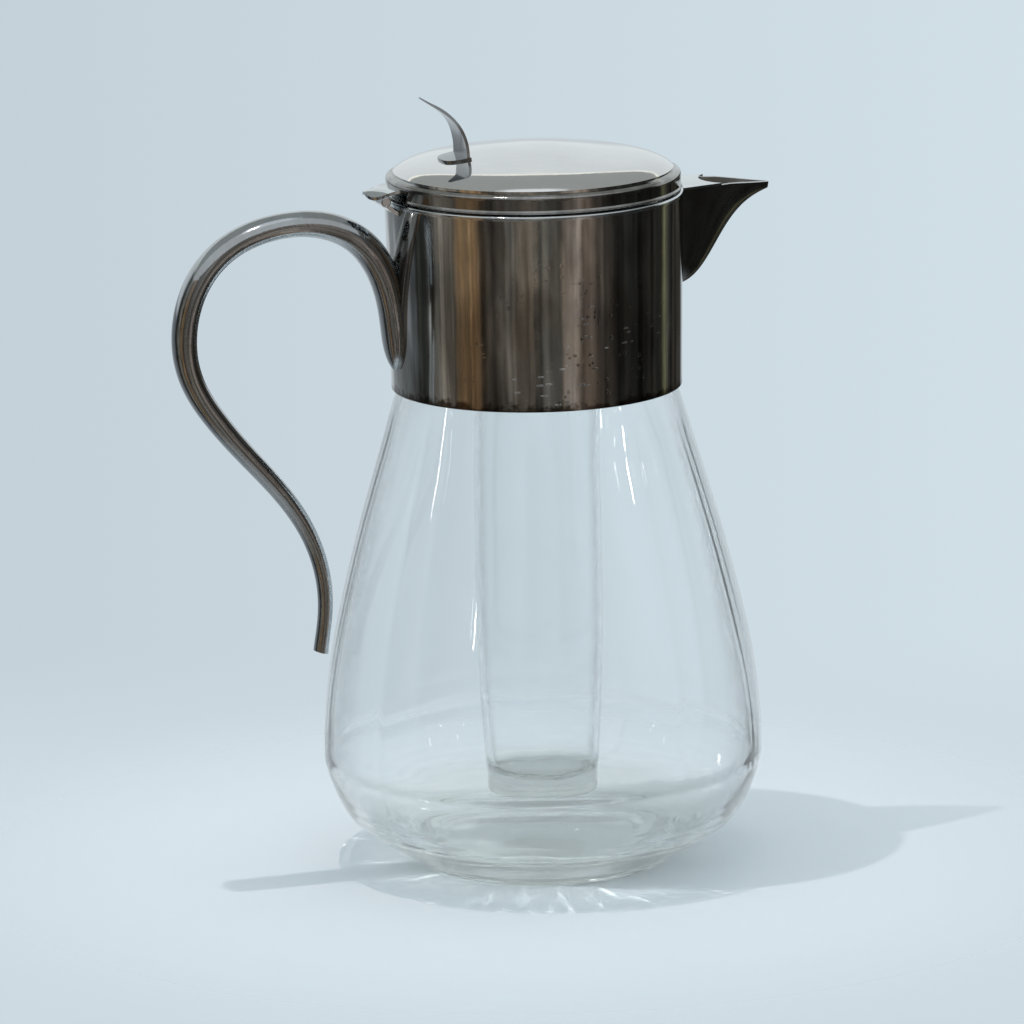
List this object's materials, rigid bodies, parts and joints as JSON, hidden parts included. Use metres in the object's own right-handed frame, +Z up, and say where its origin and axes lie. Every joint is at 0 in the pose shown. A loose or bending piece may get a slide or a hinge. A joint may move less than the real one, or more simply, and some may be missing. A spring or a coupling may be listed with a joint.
{
  "type": "lidded glass jug",
  "caption": "Pear-shaped fluted glass jug with a tall plated metal collar, beak spout, hinged domed lid with a thumb leaf, loop handle and a hanging glass ice tube.",
  "frame": {"origin": "centre of the circle that the foot ring stands on", "axes": "+Z up along the jug's axis, +X towards the spout, -X towards the hinge and handle, Y along the hinge pin"},
  "size_m": [0.2267, 0.1616, 0.2852],
  "materials": {
    "silver_plate": "polished silver plate, lightly tarnished, with fine scratches and small pits",
    "glass": "clear blown glass, faintly green in the thick base",
    "plaster": "matt setting plaster, hidden inside the collar"
  },
  "bodies": {
    "jug": {"glass_body": "glass", "ice_tube": "glass", "plaster_bed": "plaster", "collar_band": "silver_plate", "collar_rim": "silver_plate", "seat_ring": "silver_plate", "spout_shell": "silver_plate", "spout_bridge": "silver_plate", "handle_outer_shell": "silver_plate", "handle_inner_shell": "silver_plate", "hinge_bracket": "silver_plate", "collar_knuckles": "silver_plate", "hinge_pin": "silver_plate"},
    "lid": {"lid_rim": "silver_plate", "lid_cover": "silver_plate", "lid_bezel": "silver_plate", "hinge_tab": "silver_plate", "lid_knuckle": "silver_plate", "thumbpiece_foot": "silver_plate", "thumbpiece": "silver_plate"}
  },
  "joints": [
    {"name": "lid_hinge", "type": "hinge", "parent": "jug", "child": "lid", "pos_m": [-0.0582, 0, 0.2495], "axis": [0, -1, 0], "range_deg": [0, 100]}
  ]
}
